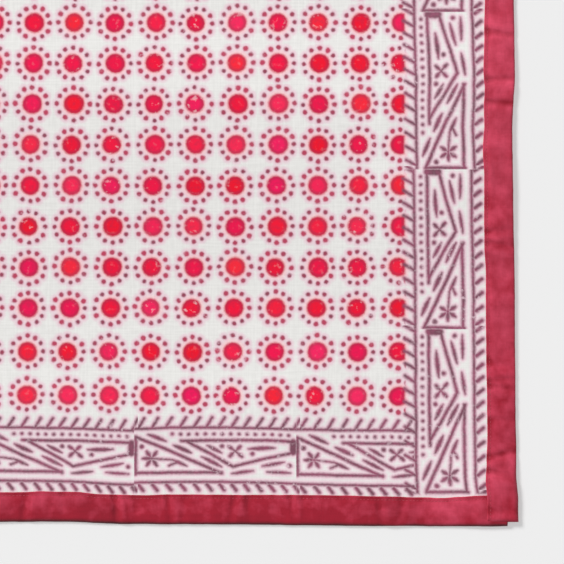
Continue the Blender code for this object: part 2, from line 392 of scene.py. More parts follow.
def printed_panel(field_material, border_material):
    """The one cut square of printed cotton, with the print's own coordinates on it."""
    x_lines, y_lines = cloth_lines()
    columns = len(x_lines)
    mesh = bpy.data.meshes.new("block_printed_panel")
    spots = [(x, y) for y in y_lines for x in x_lines]
    points = [lay(*trimmed(*spot), panel_rise(*spot) + seam_gathers(*spot)) for spot in spots]
    mesh.from_pydata(points, [], grid_faces(len(y_lines), columns, (1, 1 + columns, columns)))
    cloth, border, crossing = [mesh.uv_layers.new(name=name) for name in ("cloth", "border", "crossing border")]
    for face in mesh.polygons:
        row, column = divmod(face.index, columns - 1)
        middle = [(lines[at] + lines[at + 1]) / 2 / MM for lines, at in ((x_lines, column), (y_lines, row))]
        in_border = max(abs(middle[0]), abs(middle[1])) > FIELD_END / MM
        face.material_index = int(in_border)
        side, end = [math.copysign(1.0, place) for place in middle]
        beside = abs(middle[0]) > SIDE_START and -side * middle[1] > -END_START
        side_layer, end_layer = (border, crossing) if beside else (crossing, border)
        for loop in face.loop_indices:
            x, y = [place / MM for place in spots[mesh.loops[loop].vertex_index]]
            cloth.uv[loop].vector = (x, y)
            if in_border:
                side_layer.uv[loop].vector = on_border(SIDE_BORDER, side * x, -side * y, -side * middle[1])
                end_layer.uv[loop].vector = on_border(END_BORDER, end * y, end * x, end * middle[0])
    mesh.materials.append(field_material)
    mesh.materials.append(border_material)
    mesh.shade_smooth()
    return thickened(linked(mesh.name, mesh), COTTON_THICK, 1.0)


def spread_for_baking(panel):
    """A layout of the whole panel for its exported colours: most of it for the printed face."""
    mesh = panel.data
    spread = mesh.uv_layers.new(name="OFBake")
    for face in mesh.polygons:
        start, share = BAKED_FACE if face.normal.z > 0.3 else BAKED_BACK
        for loop in face.loop_indices:
            place = mesh.vertices[mesh.loops[loop].vertex_index].co
            spread.uv[loop].vector = (0.5 + place.x / BAKE_ROOM, start + share * (0.5 + place.y / BAKE_ROOM))


MATH = "ShaderNodeMath"
VECTOR = "ShaderNodeVectorMath"
GROUP = "ShaderNodeGroup"
SPLIT = "ShaderNodeSeparateXYZ"
JOIN = "ShaderNodeCombineXYZ"
RANGE = "ShaderNodeMapRange"
NOISE = "ShaderNodeTexNoise"
MIX = "ShaderNodeMix"
EASED = {"interpolation_type": "SMOOTHSTEP"}
IN_COLOUR = {"data_type": "RGBA"}


def node(tree, kind, feeds=(), operation=None, **settings):
    """Adds a node with its settings and links. Feeds go to the inputs in use, or to those that they name.

    Each is a socket, a fixed value, or a node, for the first of its outputs in use.
    """
    made = tree.nodes.new(kind)
    if operation:
        made.operation = operation
    for name, value in settings.items():
        setattr(made, name, value)
    if isinstance(feeds, dict):
        pairs = [(made.inputs[key], feed) for key, feed in feeds.items()]
    else:
        pairs = zip([socket for socket in made.inputs if socket.enabled], feeds)
    for socket, feed in pairs:
        if isinstance(feed, bpy.types.Node):
            feed = next(output for output in feed.outputs if output.enabled)
        if isinstance(feed, bpy.types.NodeSocket):
            tree.links.new(feed, socket)
        else:
            socket.default_value = feed
    return made


def chain(add, kind, feed, *steps):
    """Adds nodes of one kind in a row. Each takes the one before it, then its own feeds."""
    for operation, *feeds in steps:
        feed = add(kind, (feed, *feeds), operation)
    return feed


def group(name, inputs, outputs, kind="ShaderNodeTree"):
    """A new node group, the function that adds its nodes, and the sockets it is given."""
    tree = bpy.data.node_groups.new(name, kind)
    for direction, sockets in (("INPUT", inputs), ("OUTPUT", outputs)):
        for socket, holds in sockets.items():
            tree.interface.new_socket(socket, in_out=direction, socket_type="NodeSocket" + holds)
    add = partial(node, tree)
    return tree, add, add("NodeGroupInput").outputs


# A sloped fold's middle line from the lower leaf to the upper: shares of its reach and of its height
SLOPED_FOLD = (
    (0.20, 0.00), (0.05, 0.06), (0.00, 0.17), (0.12, 0.36), (0.27, 0.56), (0.45, 0.74), (0.66, 0.88),
    (0.85, 0.965), (1.10, 1.00),
)
TURNED_IN = (0.0, 0.0012, SEAM_INSET, 0.0038, 0.0058, TURN_IN)  # mesh of a turned-in edge, back from its bend
LOWER_LEAF = (0.0, 0.0012, SEAM_INSET, 0.0045, 0.010, 0.016)  # and of the lower leaf
SEAM_LINES = (0.0036, SEAM_INSET, 0.0016, 0.0008, 0.0)  # and of the upper leaf at its seam
BENDS = [math.radians(degrees) for degrees in (54, 18, -18, -54)]
LEAF_STEPS = 17  # mesh across the upper leaf, as far as the lines of its seam


def binding_section(height, width, sloped):
    """Middle line of a folded strip's cloth, from the lower leaf's raw edge round to the upper leaf's.

    Each point is (inward from the fold, height over the underside, how much of the upper leaf's swell it takes,
    how much painted shade it takes, on the sloped fold's face that turns down from the light).
    """
    layer = BINDING_THICK / 2
    turned = width - layer - BEND
    top = height - layer
    between = height - BINDING_THICK
    section = [(turned - back, layer + 2 * BEND, 0.0, 0.0) for back in reversed(TURNED_IN)]
    for turn in BENDS:
        section.append((turned + BEND * math.cos(turn), layer + BEND + BEND * math.sin(turn), 0.0, 0.0))
    for back in LOWER_LEAF:
        section.append((turned - back, layer, 0.0, 0.0))
    for step, (reach, rise) in enumerate(SLOPED_FOLD):
        turn = math.pi * step / 8
        round_in = between / 2 * (1 - math.sin(turn))
        round_up = between / 2 * (1 - math.cos(turn))
        inward = layer + round_in + (SHOULDER * between * reach - round_in) * sloped
        up = layer + round_up + (between * rise - round_up) * sloped
        # the fourth value is painted shade on the sloped fold's shoulder, which turns down from the light
        section.append((inward, up, step / 8, sloped * smooth(1.4 - abs(step - 3) / 2.4)))
    start = section[-1][0]
    for step in range(1, LEAF_STEPS):
        section.append((start + (turned - SEAM_LINES[0] - start) * step / LEAF_STEPS, top, 1.0, 0.0))
    section += [(turned - back, top, 1.0, 0.0) for back in SEAM_LINES]
    for turn in BENDS:
        section.append((turned + BEND * math.cos(turn), top - BEND + BEND * math.sin(turn), 1.0, 0.0))
    return section + [(turned - back, top - 2 * BEND, 1.0, 0.0) for back in TURNED_IN]


def swell(inward, along, cut):
    """How far the upper leaf stands off its flat place: puffed between fold and seam, with puckers across."""
    seam = cut.width - SEAM_INSET
    pinch = SEAM_PINCH * math.exp(-(((inward - seam) / PINCH_WIDE) ** 2))
    puff = PUFF * math.sin(math.pi * min(max(inward / seam, 0.0), 1.0))
    uneven = sum(
        high * waves(along / long, inward / wide, cut.seed + seed) for high, long, wide, seed in LEAF_WAVES
    )
    near_seam = 0.65 + 0.35 * smooth(inward / seam)
    rise = puff - pinch + uneven * near_seam
    for pucker in cut.puckers:
        off = cut.from_corner - pucker.from_corner - pucker.lean * (inward - cut.width / 2)
        if abs(off) < 6 * pucker.width:
            wide = pucker.width * (1.0 if off > 0 else 2.0)
            ragged = 0.85 + 0.9 * waves(inward / 0.011, pucker.from_corner * 90, cut.seed)
            rise -= pucker.depth * math.exp(-((off / wide) ** 2)) * near_seam * ragged
            beside = (off + 3.0 * pucker.width) / (1.5 * pucker.width)
            rise += pucker.ridge * math.exp(-(beside**2)) * near_seam
    return max(rise, -DEEPEST)


def on_side(turns, x, y):
    """Turns a place beside the +X hem by quarter turns."""
    for _ in range(turns):
        x, y = -y, x
    return x, y


Binding = namedtuple("Binding", "node turns widths puckers wear end laps")
SIDE_END = HALF - SIDE_STRIP_SHORT
TUCKED_END = HALF - END_STRIP_TUCK
SIDE_STRIP = (SIDE_WIDTHS, SIDE_PUCKERS, SIDE_RUBBING_AND_SHADE, SIDE_END, True)
END_STRIP = (END_WIDTHS, END_PUCKERS, END_RUBBING_AND_SHADE, TUCKED_END, False)
BINDINGS = table(
    Binding,
    ("binding_right", 0, *SIDE_STRIP),
    ("binding_top", 1, *END_STRIP),
    ("binding_left", 2, *SIDE_STRIP),
    ("binding_bottom", 3, *END_STRIP),
)
Cut = namedtuple("Cut", "height width edge proud shut seat sloped pale from_corner puckers seed")


def from_first_corner(binding, along):
    """How far a place along a strip is from the corner where the tables start."""
    return HALF + along if binding.laps else HALF - along


def strip_cut(binding, along):
    """What a folded strip is like at one place along it."""
    lap = lap_share(along)
    room = PANEL_ROOM + (LAP_ROOM - PANEL_ROOM) * lap * binding.laps
    seat = SEAT * lap * (not binding.laps)
    from_corner = from_first_corner(binding, along)
    seed = 31.0 + 7.0 * binding.turns
    edge = WAVER * waves(along / 0.022, seed, 1.0) + FRET * waves(along / 0.006, seed, 2.0)
    proud = SIDE_PROUD if binding.laps else END_PROUD
    shut = 1.0
    if binding.laps:
        left = min((binding.end - abs(along)) / END_ROUNDING, 1.0)
        shut = SHUT + (1 - SHUT) * math.sqrt(max(1 - (1 - left) ** 2, 0.0))
    width = STRIP_WIDTH + read(binding.widths, from_corner, "added")
    uneven = 0.92 + 0.16 * waves(along / 0.02, seed, 3.0)
    sloped = min(read(binding.wear, from_corner, "sloped") * uneven, 1.0)
    pale = read(binding.wear, from_corner, "pale")
    height = 2 * STRIP_THICK + room
    return Cut(height, width, edge, proud, shut, seat, sloped, pale, from_corner, binding.puckers, seed)


def strip_point(binding, cut, along, inward, rise, upper):
    """Where a point of a folded strip lies, and how far it stands off its flat place."""
    swelled = upper * swell(inward, along, cut)
    height = cut.height / 2 + (rise + swelled - cut.height / 2) * cut.shut
    out = (cut.edge + cut.proud) * (1 - inward / cut.width)
    x, y = on_side(binding.turns, HALF - inward + out, along)
    return lay(x, y, height + cut.seat), swelled


def strip_rings(binding):
    """The places of the mesh's rings along a strip."""
    end, rounding = binding.end, END_ROUNDING * binding.laps
    rings = [-end + rounding]
    while rings[-1] < end - rounding - RING_STEP * 0.5:
        from_corner = from_first_corner(binding, rings[-1])
        puckered = any(abs(from_corner - pucker.from_corner) < PUCKER_REACH for pucker in binding.puckers)
        rings.append(rings[-1] + (PUCKER_STEP if puckered else RING_STEP))
    rings[-1] = end - rounding
    if binding.laps:
        near = [end - rounding * share for share in (0.0, 0.02, 0.08, 0.2, 0.4, 0.7)]
        rings = [-place for place in near] + rings + near[::-1]
    return rings


def strip_ring(binding, along):
    """One ring of a folded strip: its points, their places on the strip's own cloth, and their rubbing and
    painted shade.
    """
    cut = strip_cut(binding, along)
    points, places, wear = [], [], []
    walked, before = 0.0, None
    for inward, rise, upper, painted_shade in binding_section(cut.height, cut.width + cut.edge, cut.sloped):
        point, swelled = strip_point(binding, cut, along, inward, rise, upper)
        hollow = max(-swelled - LOOSE, 0.0) / CREASE
        rubbed = max(swelled - LOOSE, 0.0) / CREASE
        slope_painted_shade = SLOPE_SHADE * cut.sloped * fading(inward, *SLOPE_BAND)
        if before is not None:
            walked += math.hypot(inward - before[0], rise - before[1])
        before = (inward, rise)
        points.append(point)
        places.append((along / MM, walked / MM))
        # the leaf's tone: rubbed patches and ridges paler, with painted shade taken off it in hollows and beside
        # a sloped fold; the second value is painted shade alone
        pale = cut.pale + RUBBED * rubbed - SHADED * hollow - slope_painted_shade
        wear.append((pale, max(HOLLOW_PAINTED_SHADE * hollow, painted_shade)))
    return points, places, wear


def red_binding(binding, material):
    """One folded strip, with its raw edges turned in under each leaf."""
    rings = [strip_ring(binding, along) for along in strip_rings(binding)]
    columns = len(rings[0][0])
    mesh = bpy.data.meshes.new("red_" + binding.node)
    points, places, wear = [[value for ring in rings for value in ring[kind]] for kind in range(3)]
    mesh.from_pydata(points, [], grid_faces(len(rings), columns, (columns, columns + 1, 1)))
    for name, values in (("cloth", places), ("rubbing_and_painted_shade", wear)):
        layer = mesh.uv_layers.new(name=name)
        for loop in mesh.loops:
            layer.uv[loop.index].vector = values[loop.vertex_index]
    mesh.materials.append(material)
    mesh.shade_smooth()
    return thickened(linked(mesh.name, mesh), BINDING_THICK, 0.0)


def stitching_tree(thread_material):
    """Geometry Nodes that lay a seam's stitches along a line: plump little spindles, half sunk in the cloth."""
    sizes = {"Pitch": "Float", "Stitch Length": "Float", "Thread Radius": "Float", "Seed": "Int"}
    sockets = ({"Seam": "Geometry", **sizes}, {"Stitches": "Geometry"})
    tree, add, given = group("machine stitches", *sockets, "GeometryNodeTree")
    seam = add("GeometryNodeMeshToCurve", (given["Seam"],))
    upright = add("GeometryNodeSetCurveNormal", (seam,), mode="Z_UP")
    places = add("GeometryNodeCurveToPoints", {"Curve": upright, "Length": given["Pitch"]}, mode="LENGTH")
    half_long = add(MATH, (given["Stitch Length"], 0.5), "MULTIPLY")
    size = add(JOIN, (given["Thread Radius"], given["Thread Radius"], half_long))
    ball = add("GeometryNodeMeshUVSphere", {"Segments": 6, "Rings": 4, "Radius": 1.0})
    stitch = add("GeometryNodeTransform", {"Geometry": ball, "Scale": size})
    feeds = {0: (0.92, 0.92, 0.90), 1: (1.08, 1.08, 1.04), "Seed": given["Seed"]}
    uneven = add("FunctionNodeRandomValue", feeds, data_type="FLOAT_VECTOR")
    feeds = {"Points": places, "Instance": stitch, "Rotation": places.outputs["Rotation"], "Scale": uneven}
    laid = add("GeometryNodeInstanceOnPoints", feeds)
    next_seed = add(MATH, (given["Seed"], 1.0), "ADD")
    feeds = {0: (-0.03, -0.09, 0.0), 1: (0.03, 0.09, 0.0), "Seed": next_seed}
    slant = add("FunctionNodeRandomValue", feeds, data_type="FLOAT_VECTOR")
    turned = add("GeometryNodeRotateInstances", {"Instances": laid, "Rotation": slant})
    real = add("GeometryNodeRealizeInstances", (turned,))
    finished = add("GeometryNodeSetMaterial", {"Geometry": real, "Material": thread_material})
    add("NodeGroupOutput", (finished,))
    return tree


def seam_stitches(binding, tree):
    """The stitches that show along a strip's seam, on its upper leaf and on its lower one."""
    points, edges = [], []
    for upper in (1.0, 0.0):
        first = len(points)
        for along in strip_rings(binding):
            if abs(along) <= binding.end - SEAM_STOP:
                cut = strip_cut(binding, along)
                inward = cut.width + cut.edge - BINDING_THICK / 2 - BEND - SEAM_INSET
                rise = cut.height if upper else THREAD_RADIUS / 2
                points.append(strip_point(binding, cut, along, inward, rise, upper)[0])
        edges += [(place, place + 1) for place in range(first, len(points) - 1)]
    mesh = bpy.data.meshes.new("seam")
    mesh.from_pydata(points, edges, [])
    piece = linked(binding.node.replace("binding", "seam_stitches"), mesh)
    stitching = piece.modifiers.new("machine stitches", "NODES")
    stitching.node_group = tree
    sizes = {"Pitch": STITCH_PITCH, "Stitch Length": STITCH_LONG, "Thread Radius": THREAD_RADIUS}
    sizes["Seed"] = binding.turns
    for socket in tree.interface.items_tree:
        if socket.name in sizes:
            stitching[socket.identifier] = sizes[socket.name]
    applied(piece)
    piece.data.shade_smooth()
    return piece


def linear(code):
    """An sRGB hex colour in linear light."""
    shares = [int(code[place : place + 2], 16) / 255 for place in (1, 3, 5)]
    return (*[s / 12.92 if s <= 0.04045 else ((s + 0.055) / 1.055) ** 2.4 for s in shares], 1.0)


# The print is a common kind of hand-block pattern, charted here. Places are in millimetres of cloth,
# from its middle or from the border's inner line.
ROW_LOW_FIRST = 114.9 - HALF / MM  # the rows near the lower hem are further apart
ROW_LOW_PITCH = 39.55
ROW_THIRD = 194.0 - HALF / MM
ROW_PITCH = 36.64
COLUMN_FIRST = HALF / MM - 101.7  # and the columns there are pulled away from the right hem
COLUMN_PITCH = 36.7
PULL_FIRST = 2.7
PULL_PITCH = 0.47
PULLED_FROM = 450.0 - HALF / MM
PULLED_TO = 115.0 - HALF / MM
MOTIF_STRAY = 1.5  # the blocks were set down by hand, so no motif is quite in its place
DISC_RADIUS = 8.86  # on average, as the block takes more or less dye
DISC_UNEVEN = 0.7
DISC_STRAY = 1.0  # and the discs' block was set down apart from the dots' block
PIP_RADIUS = 1.1
RING_RADIUS = 14.3
RING_DOTS = 12
RING_DOT_RADIUS = 2.15
RING_DOT_UNEVEN = 0.5
RING_DOT_STRAY = 0.9
FIELD_X = HALF / MM - 98.1  # the rosettes are cut off where the border's room begins
FIELD_Y = HALF / MM - 97.5

# The border block as it is carved: across from its inner line, and along it
Line = namedtuple("Line", "start end half")
Leaf = namedtuple("Leaf", "start end half belly")
Dot = namedtuple("Dot", "place radius")
BLOCK_LINES = table(
    Line,
    ((11.8, 2.7), (12.4, 102.6), 1.5), ((12.2, 3.2), (22.0, 3.2), 3.0),  # the long triangle
    ((22.3, 2.7), (37.2, 56.7), 1.5), ((37.2, 56.7), (12.6, 98.1), 1.55),
    ((43.0, 67.1), (43.0, 143.4), 1.55), ((43.9, 67.1), (7.9, 143.4), 1.6),  # the right-angled triangle
    ((7.9, 143.4), (43.9, 143.4), 1.6),
    ((33.1, 106.2), (36.3, 113.4), 1.2), ((30.9, 110.7), (29.2, 128.9), 1.0),  # its sprig
    ((18.3, 50.7), (27.4, 59.4), 1.1), ((27.7, 49.0), (18.3, 59.9), 1.1),  # the cross in the long triangle
)
BLOCK_LEAVES = table(
    Leaf,
    ((18.7, 19.8), (20.5, 43.2), 0.7, 1.3), ((24.3, 67.1), (17.1, 79.7), 0.7, 1.1),
    ((32.2, 11.3), (36.7, 30.6), 0.7, 1.0), ((42.1, 5.8), (41.8, 26.4), 0.7, 0.8),
    ((41.2, 38.7), (44.1, 57.9), 0.7, 1.0), ((37.4, 67.1), (28.3, 84.2), 0.8, 1.1),
    ((24.0, 94.0), (16.6, 109.5), 0.8, 1.3), ((12.9, 116.6), (5.7, 132.3), 0.8, 1.1),
    ((36.7, 98.1), (30.9, 110.7), 0.8, 0.9),
    ((20.3, 52.7), (18.1, 50.4), 1.5, 0.3), ((25.4, 51.6), (27.7, 48.9), 1.5, 0.3),  # buds at the cross's ends
    ((20.4, 57.6), (18.2, 60.2), 1.5, 0.3), ((25.0, 57.2), (27.5, 59.6), 1.5, 0.3),
    ((31.4, 127.5), (35.9, 124.4), 1.2, 0.7), ((31.5, 130.5), (35.9, 133.3), 1.2, 0.7),  # the floret's petals
    ((29.2, 130.0), (29.2, 136.9), 1.2, 0.7), ((27.0, 130.4), (22.6, 133.6), 1.2, 0.7),
    ((27.2, 127.7), (23.0, 125.0), 1.2, 0.7),
)
BLOCK_DOTS = table(
    Dot,
    ((25.0, 39.6), 2.0), ((17.8, 66.6), 2.0), ((35.2, 6.3), 2.0), ((17.6, 138.1), 2.2), ((29.2, 128.9), 1.5),
)
BEAD_LINE = 6.1  # the row of beads inside the inner line
BEAD_FIRST = 7.2
BEAD_PITCH = 7.4
BEAD_LAST = 14
BEAD_RADIUS = 1.55
LONG_LINE_HALF = 1.35
DYE_CREEP = 0.18  # the outline dye creeps this far past its carved strokes
TICK_PITCH = 11.1  # the ticks are closer together along the first part of the block
TICK_PITCH_LATE = 12.4
TICKS_CLOSE = 8
TICK_LAST = 12
TICK_WRAP = 141.4  # from here on, the next impression's first tick is the nearest
INNER_TICK = Line((-9.6, -2.5), (-0.2, 2.9), 1.45)
OUTER_TICK = Line((54.8, 2.1), (59.9, -1.7), 1.75)
NO_INK = 50.0  # a distance from any stroke


def stroke_group(name, *belly):
    """One carved stroke, with or without a belly: how far outside it, or outside a nearer one, a place is."""
    inputs = {"Nearest": "Float", "Place": "Vector", "Start": "Vector", "Run": "Vector", "Half": "Float"}
    tree, add, given = group(name, {**inputs, **dict.fromkeys(belly, "Float")}, {"Nearest": "Float"})
    off = add(VECTOR, (given["Place"], given["Start"]), "SUBTRACT")
    ahead = add(VECTOR, (off, given["Run"]), "DOT_PRODUCT")
    long = add(VECTOR, (given["Run"], given["Run"]), "DOT_PRODUCT")
    share = add(MATH, (ahead, long), "DIVIDE", use_clamp=True)
    on_line = add(VECTOR, (given["Run"], share), "SCALE")
    gap = add(VECTOR, (off, on_line), "DISTANCE")
    wide = given["Half"]
    if belly:
        left = add(MATH, (1.0, share), "SUBTRACT")
        arch = add(MATH, (share, left), "MULTIPLY")
        full = add(MATH, (given["Belly"], 4.0), "MULTIPLY")
        wide = add(MATH, (arch, full, wide), "MULTIPLY_ADD")
    nearest = chain(add, MATH, gap, ("SUBTRACT", wide), ("MINIMUM", given["Nearest"]))
    add("NodeGroupOutput", (nearest,))
    return tree


def stroke(add, nearest, place, row, carved):
    """Adds a row of the block's chart to the strokes before it."""
    run = (row.end[0] - row.start[0], row.end[1] - row.start[1], 0.0)
    feeds = {"Nearest": nearest, "Place": place, "Start": (*row.start, 0.0), "Run": run, "Half": row.half}
    if isinstance(row, Leaf):
        feeds["Belly"] = row.belly
    return add(GROUP, feeds, node_tree=carved)


def spot(add, nearest, place, middle, radius):
    """Adds a round dot to the strokes before it."""
    gap = add(VECTOR, (place, middle), "DISTANCE")
    return chain(add, MATH, gap, ("SUBTRACT", radius), ("MINIMUM", nearest))


def long_line(add, nearest, across, line):
    """Adds a line along the whole border to the strokes before it."""
    steps = (("SUBTRACT", line), ("ABSOLUTE",), ("SUBTRACT", LONG_LINE_HALF), ("MINIMUM", nearest))
    return chain(add, MATH, across, *steps)


def ticks_group(name, tick, line):
    """A row of slanting ticks along a border line: one carved line, repeated."""
    tree, add, given = group(name, {"Nearest": "Float", "Place": "Vector"}, {"Nearest": "Float"})
    place = add(SPLIT, (given["Place"],)).outputs
    next_block = add(MATH, (place["Y"], TICK_WRAP), "GREATER_THAN")
    along = add(MATH, (next_block, -BLOCK_LONG, place["Y"]), "MULTIPLY_ADD")
    slope = (tick.end[1] - tick.start[1]) / (tick.end[0] - tick.start[0])
    lead = add(MATH, (place["X"], -slope, along), "MULTIPLY_ADD")
    from_first = add(MATH, (lead, tick.start[0] * slope - tick.start[1]), "ADD")
    close = add(MATH, (from_first, 1 / TICK_PITCH), "MULTIPLY")
    late_start = TICKS_CLOSE * (1 - TICK_PITCH / TICK_PITCH_LATE)
    late = add(MATH, (from_first, 1 / TICK_PITCH_LATE, late_start), "MULTIPLY_ADD")
    steps = (("MINIMUM", late), ("ROUND",), ("MAXIMUM", 0.0), ("MINIMUM", TICK_LAST))
    number = chain(add, MATH, close, *steps)
    late_by = add(MATH, (number, TICK_PITCH_LATE, -late_start * TICK_PITCH_LATE), "MULTIPLY_ADD")
    moved_by = chain(add, MATH, number, ("MULTIPLY", TICK_PITCH), ("MAXIMUM", late_by))
    back = add(MATH, (along, moved_by), "SUBTRACT")
    moved = add(JOIN, (place["X"], back))
    add("NodeGroupOutput", (stroke(add, given["Nearest"], moved, tick, line),))
    return tree


def block_place(add, layout, stray):
    """A point on one impression of the block, from its coordinates on the panel."""
    split = add(SPLIT, (add(VECTOR, (layout, stray), "ADD"),)).outputs
    number = chain(add, MATH, split["Y"], ("MULTIPLY", 1 / BLOCK_STRIDE), ("FLOOR",))
    along = add(MATH, (number, -BLOCK_STRIDE, split["Y"]), "MULTIPLY_ADD")
    past = add(MATH, (along, BLOCK_LONG + BLOCK_PHASE), "SUBTRACT")
    return add(JOIN, (split["X"], along)), split["X"], along, past


def border_group():
    """The border: how far a place is outside its strokes."""
    inputs = {"Border": "Vector", "Crossing": "Vector", "Stray": "Vector"}
    tree, add, given = group("carved border block", inputs, {"Outside": "Float"})
    line, leaf = stroke_group("carved line"), stroke_group("carved stroke", "Belly")
    inner = ticks_group("ticks inside the border", INNER_TICK, line)
    outer = ticks_group("ticks outside the border", OUTER_TICK, line)
    place, across, _, past = block_place(add, given["Crossing"], given["Stray"])
    nearest = long_line(add, NO_INK, across, 0.0)
    nearest = add(GROUP, {"Nearest": nearest, "Place": place}, node_tree=inner)
    crossed = add(MATH, (nearest, past), "MAXIMUM")
    place, across, along, past = block_place(add, given["Border"], given["Stray"])
    nearest = NO_INK
    for ticks in (inner, outer):
        nearest = add(GROUP, {"Nearest": nearest, "Place": place}, node_tree=ticks)
    for line_place in (0.0, BAND_WIDE):
        nearest = long_line(add, nearest, across, line_place)
    count = add(MATH, (along, 1 / BEAD_PITCH, -BEAD_FIRST / BEAD_PITCH), "MULTIPLY_ADD")
    steps = (("ROUND",), ("MAXIMUM", 0.0), ("MINIMUM", BEAD_LAST), ("MULTIPLY_ADD", BEAD_PITCH, BEAD_FIRST))
    middle = add(JOIN, (BEAD_LINE, chain(add, MATH, count, *steps)))
    nearest = spot(add, nearest, place, middle, BEAD_RADIUS)
    for dot in BLOCK_DOTS:
        nearest = spot(add, nearest, place, (*dot.place, 0.0), dot.radius)
    for row in BLOCK_LINES + BLOCK_LEAVES:
        nearest = stroke(add, nearest, place, row, leaf if isinstance(row, Leaf) else line)
    outside = chain(add, MATH, nearest, ("MAXIMUM", past), ("MINIMUM", crossed))
    add("NodeGroupOutput", (outside,))
    return tree


def rosette_group():
    """The field: how far a place is outside a rosette's disc, dots and pip, and two chance tones."""
    outputs = {"Disc": "Float", "Dots": "Float", "Pip": "Float", "Motif": "Color", "Dot": "Float"}
    tree, add, given = group("rosettes of the field", {"Place": "Vector"}, outputs)
    place = add(SPLIT, (given["Place"],)).outputs
    low = add(MATH, (place["Y"], 1 / ROW_LOW_PITCH, -ROW_LOW_FIRST / ROW_LOW_PITCH), "MULTIPLY_ADD")
    high = add(MATH, (place["Y"], 1 / ROW_PITCH, 2 - ROW_THIRD / ROW_PITCH), "MULTIPLY_ADD")
    row = chain(add, MATH, low, ("MAXIMUM", high), ("ROUND",))
    low_place = add(MATH, (row, ROW_LOW_PITCH, ROW_LOW_FIRST), "MULTIPLY_ADD")
    high_place = add(MATH, (row, ROW_PITCH, ROW_THIRD - 2 * ROW_PITCH), "MULTIPLY_ADD")
    row_place = add(MATH, (low_place, high_place), "MINIMUM")
    pull = add(RANGE, (row_place, PULLED_FROM, PULLED_TO))
    first = add(MATH, (pull, -PULL_FIRST, COLUMN_FIRST), "MULTIPLY_ADD")
    pitch = add(MATH, (pull, PULL_PITCH, COLUMN_PITCH), "MULTIPLY_ADD")
    column = chain(add, MATH, first, ("SUBTRACT", place["X"]), ("DIVIDE", pitch), ("ROUND",))
    steps = add(MATH, (column, pitch), "MULTIPLY")
    column_place = add(MATH, (first, steps), "SUBTRACT")
    cell = add(JOIN, (column, row))
    cell_chance = add("ShaderNodeTexWhiteNoise", (cell,), noise_dimensions="3D").outputs
    chance = cell_chance["Color"]
    stray = add(VECTOR, (chance, (MOTIF_STRAY,) * 3, (-MOTIF_STRAY / 2,) * 3), "MULTIPLY_ADD")
    middle = add(JOIN, (column_place, row_place))
    set_down = add(VECTOR, (middle, stray), "ADD")
    flat = chain(add, VECTOR, given["Place"], ("SUBTRACT", set_down), ("MULTIPLY", (1.0, 1.0, 0.0)))
    reach = add(VECTOR, (flat,), "LENGTH")
    pip = add(MATH, (reach, PIP_RADIUS), "SUBTRACT")
    apart = (chance, (-DISC_STRAY, DISC_STRAY, 0.0), (DISC_STRAY / 2, -DISC_STRAY / 2, 0.0))
    disc_off = add(VECTOR, (flat, add(VECTOR, apart, "MULTIPLY_ADD")), "ADD")
    disc_reach = add(VECTOR, (disc_off,), "LENGTH")
    feeds = (cell_chance["Value"], DISC_UNEVEN, DISC_RADIUS - DISC_UNEVEN / 2)
    disc_radius = add(MATH, feeds, "MULTIPLY_ADD")
    around = add(SPLIT, (flat,)).outputs
    turn = chain(add, MATH, around["X"], ("ARCTAN2", around["Y"]), ("MULTIPLY", RING_DOTS / math.tau))
    dot = add(MATH, (turn,), "ROUND")
    arc = chain(add, MATH, turn, ("SUBTRACT", dot), ("MULTIPLY", math.tau / RING_DOTS * RING_RADIUS))
    out = add(MATH, (reach, RING_RADIUS), "SUBTRACT")
    on_ring = add(JOIN, (arc, out))
    single = add(MATH, (dot, RING_DOTS), "FLOORED_MODULO")
    dot_cell = add(JOIN, (column, row, single))
    dot_chance = add("ShaderNodeTexWhiteNoise", (dot_cell,), noise_dimensions="3D").outputs
    stray = (RING_DOT_STRAY, RING_DOT_STRAY, 0.0)
    feeds = (dot_chance["Color"], stray, tuple(-most / 2 for most in stray))
    dot_place = add(VECTOR, feeds, "MULTIPLY_ADD")
    gap = add(VECTOR, (on_ring, dot_place), "DISTANCE")
    feeds = (dot_chance["Value"], RING_DOT_UNEVEN, RING_DOT_RADIUS - RING_DOT_UNEVEN / 2)
    radius = add(MATH, feeds, "MULTIPLY_ADD")
    past_x = chain(add, MATH, place["X"], ("ABSOLUTE",), ("SUBTRACT", FIELD_X))
    past_y = chain(add, MATH, place["Y"], ("ABSOLUTE",), ("SUBTRACT", FIELD_Y))
    past = add(MATH, (past_x, past_y), "MAXIMUM")
    disc = chain(add, MATH, disc_reach, ("SUBTRACT", disc_radius), ("MAXIMUM", past))
    dots = chain(add, MATH, gap, ("SUBTRACT", radius), ("MAXIMUM", past))
    add("NodeGroupOutput", (disc, dots, pip, chance, dot_chance["Value"]))
    return tree


def threads(add, place, wide, long, detail):
    """The light and shade of crossing threads, as streaks so many millimetres wide and long."""
    streaks = []
    for stretch in ((1 / wide, 1 / long, 1.0), (1 / long, 1 / wide, 1.0)):
        drawn = add(VECTOR, (place, stretch), "MULTIPLY")
        streaks.append(add(NOISE, (drawn, 1.0, detail)))
    return add(MATH, streaks, "ADD")


